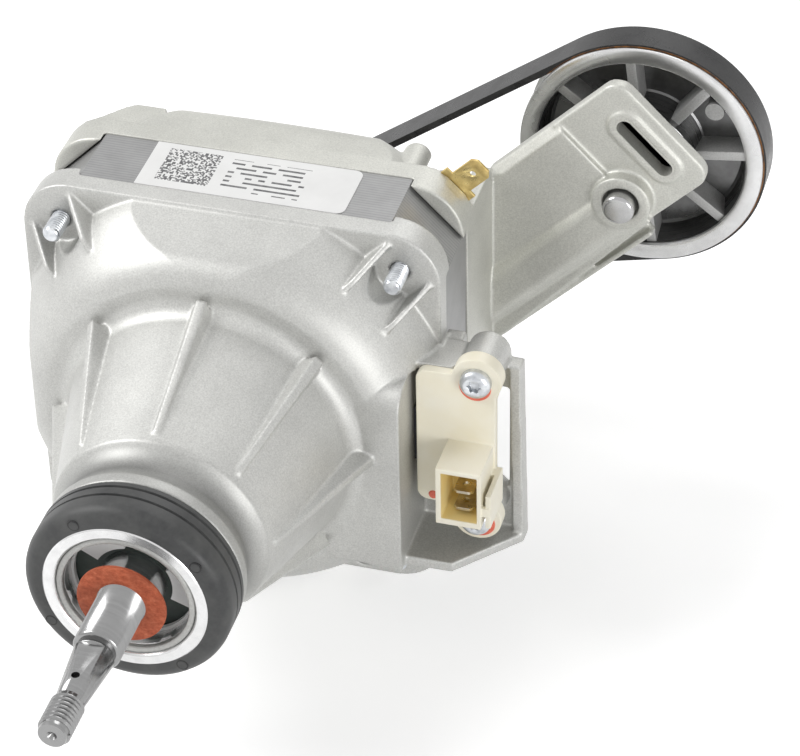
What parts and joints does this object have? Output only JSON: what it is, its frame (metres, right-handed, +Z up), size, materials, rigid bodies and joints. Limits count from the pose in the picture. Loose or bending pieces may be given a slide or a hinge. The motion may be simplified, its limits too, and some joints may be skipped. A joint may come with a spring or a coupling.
{
  "type": "brushless dc motor",
  "caption": "Brushless motor for a tumble dryer with a ribbed cast nose, rubber clamping ring, fan shaft and a cast arm carrying a spoked belt pulley.",
  "frame": {"origin": "middle of the rubber clamping ring, on the axis of the motor", "axes": "+Y along the motor axis from the fan shaft towards the belt, +Z up with the label on top, +X towards the connector"},
  "size_m": [0.1712, 0.2235, 0.124],
  "materials": {
    "cast": "blasted",
    "lamination": "satin",
    "insulator": "matte",
    "copper": "enamelled wire",
    "magnet": "matte",
    "steel": "turned",
    "bearing_steel": "polished",
    "zinc_steel": "zinc plated",
    "black_rubber": "matte",
    "seal_rubber": "matte",
    "grey_plastic": "satin",
    "red_fibre": "matte",
    "cream_plastic": "satin",
    "brass": "bright",
    "lead_cover": "matte",
    "label": "satin"
  },
  "bodies": {
    "motor": {"front_housing": "cast", "rear_housing": "cast", "stator_core": "lamination", "stator_insulators": "insulator", "stator_coils": "copper", "front_bearing_outer_ring": "bearing_steel", "rear_bearing_outer_ring": "bearing_steel", "preload_washer": "steel", "shaft_seal": "seal_rubber", "seal_retainer": "grey_plastic", "nose_ring": "black_rubber", "nose_sleeve": "zinc_steel", "drive_belt": "black_rubber", "pulley_axle": "steel", "axle_sleeves": "steel", "axle_retaining_ring": "steel", "pulley_bearing_inner_rings": "bearing_steel", "through_bolts": "zinc_steel", "earth_tab": "brass", "connector_housing": "cream_plastic", "connector_blades": "brass", "connector_screws": "zinc_steel", "phase_leads": "lead_cover", "lead_grommet": "black_rubber", "rating_label": "label"},
    "rotor": {"rotor_shaft": "steel", "rotor_core": "lamination", "rotor_magnets": "magnet", "front_bearing_inner_ring": "bearing_steel", "rear_bearing_inner_ring": "bearing_steel", "shaft_collar": "steel", "fibre_washer": "red_fibre", "motor_pulley": "steel"},
    "pulley": {"large_pulley": "cast", "pulley_bearing_outer_rings": "bearing_steel"},
    "front_bearing_cage": {"front_bearing_balls": "bearing_steel"},
    "rear_bearing_cage": {"rear_bearing_balls": "bearing_steel"},
    "pulley_bearing_cages": {"pulley_bearing_balls": "bearing_steel"}
  },
  "joints": [
    {"name": "rotor_spin", "type": "hinge", "parent": "motor", "child": "rotor", "pos_m": [0, 0, 0], "axis": [0, 1, 0], "continuous": true},
    {"name": "pulley_spin", "type": "hinge", "parent": "motor", "child": "pulley", "pos_m": [0.0862, 0.15, 0.039], "axis": [0, 1, 0], "continuous": true},
    {"name": "front_cage_spin", "type": "hinge", "parent": "motor", "child": "front_bearing_cage", "pos_m": [0, 0.009, 0], "axis": [0, 1, 0], "continuous": true},
    {"name": "rear_cage_spin", "type": "hinge", "parent": "motor", "child": "rear_bearing_cage", "pos_m": [0, 0.1338, 0], "axis": [0, 1, 0], "continuous": true},
    {"name": "pulley_cage_spin", "type": "hinge", "parent": "motor", "child": "pulley_bearing_cages", "pos_m": [0.0862, 0.155, 0.039], "axis": [0, 1, 0], "continuous": true}
  ],
  "couplings": [
    {"joint": "pulley_spin", "follows": "rotor_spin", "ratio": 0.4102},
    {"joint": "front_cage_spin", "follows": "rotor_spin", "ratio": 0.3825},
    {"joint": "rear_cage_spin", "follows": "rotor_spin", "ratio": 0.3825},
    {"joint": "pulley_cage_spin", "follows": "rotor_spin", "ratio": 0.2584}
  ]
}
